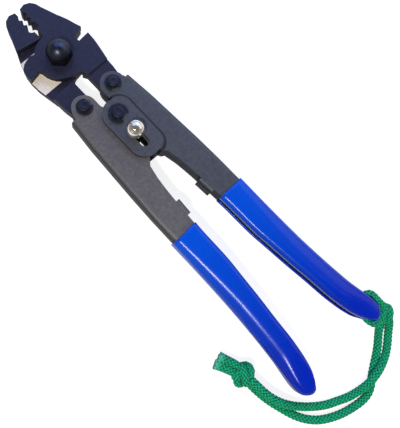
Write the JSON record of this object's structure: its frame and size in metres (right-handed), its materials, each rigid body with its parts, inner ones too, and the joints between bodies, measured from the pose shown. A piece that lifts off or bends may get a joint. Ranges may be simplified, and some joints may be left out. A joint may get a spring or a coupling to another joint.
{
  "type": "compound-action crimping pliers",
  "caption": "Compound-action hand crimping pliers with lapped notched jaws, wire-cutting slot, sheet-metal channel handles in dipped grips, slide lock and a knotted wrist cord.",
  "frame": {"origin": "jaw pivot's axis at the back face of the pivot bolt's hexagon head", "axes": "+X from the jaw pivot along the handles, +Y towards the front handle, +Z out of the front face, along the pivot axis"},
  "size_m": [0.2829, 0.0969, 0.0285],
  "materials": {
    "jaw_paint": "satin navy-black paint",
    "front_handle_paint": "satin bluish dark grey paint",
    "rear_handle_paint": "satin dark grey paint",
    "blackened_steel": "blackened, semi-gloss",
    "chromed_steel": "polished",
    "spring_steel": "drawn",
    "blue_vinyl": "glossy dipped vinyl",
    "green_braid": "braided cord"
  },
  "bodies": {
    "handle_front": {"handle_front": "front_handle_paint", "grip_front": "blue_vinyl", "arm_pin_front": "blackened_steel", "arm_clip_front": "blackened_steel", "handle_pin": "blackened_steel", "handle_clip": "blackened_steel", "spacer_sleeve": "spring_steel", "opening_spring": "spring_steel", "lanyard_loop": "green_braid", "lanyard_strand_inner": "green_braid", "lanyard_strand_outer": "green_braid", "lanyard_hitch": "green_braid", "lanyard_knot": "green_braid", "lanyard_tail_upper": "green_braid", "lanyard_tail_lower": "green_braid"},
    "handle_rear": {"handle_rear": "rear_handle_paint", "grip_rear": "blue_vinyl", "arm_pin_rear": "blackened_steel", "arm_clip_rear": "blackened_steel"},
    "jaw_front": {"jaw_front": "jaw_paint", "pivot_bolt": "blackened_steel", "acorn_nut": "blackened_steel"},
    "jaw_rear": {"jaw_rear": "jaw_paint"},
    "lock": {"lock_knob": "chromed_steel", "lock_retainer": "blackened_steel"}
  },
  "joints": [
    {"name": "handles_close", "type": "hinge", "parent": "handle_front", "child": "handle_rear", "pos_m": [0.0445, 0, 0.0106], "axis": [0, 0, 1], "range_deg": [0, 11.6], "stiffness_Nm_per_rad": 0.8, "springref_deg": -22.92, "deforming": ["opening_spring"]},
    {"name": "front_jaw_turn", "type": "hinge", "parent": "handle_front", "child": "jaw_front", "pos_m": [0.02992, 0.01014, 0.0106], "axis": [0, 0, 1], "range_deg": [0, 8.55]},
    {"name": "jaws_close", "type": "hinge", "parent": "jaw_front", "child": "jaw_rear", "pos_m": [0, 0, 0.0106], "axis": [0, 0, 1], "range_deg": [-5.5, 0]},
    {"name": "lock_slide", "type": "slide", "parent": "handle_front", "child": "lock", "axis": [1, 0, 0], "range_m": [0, 0.0075]}
  ],
  "couplings": [
    {"joint": "front_jaw_turn", "follows": "handles_close", "ratio": 0.73668},
    {"joint": "jaws_close", "follows": "handles_close", "ratio": -0.47335}
  ]
}
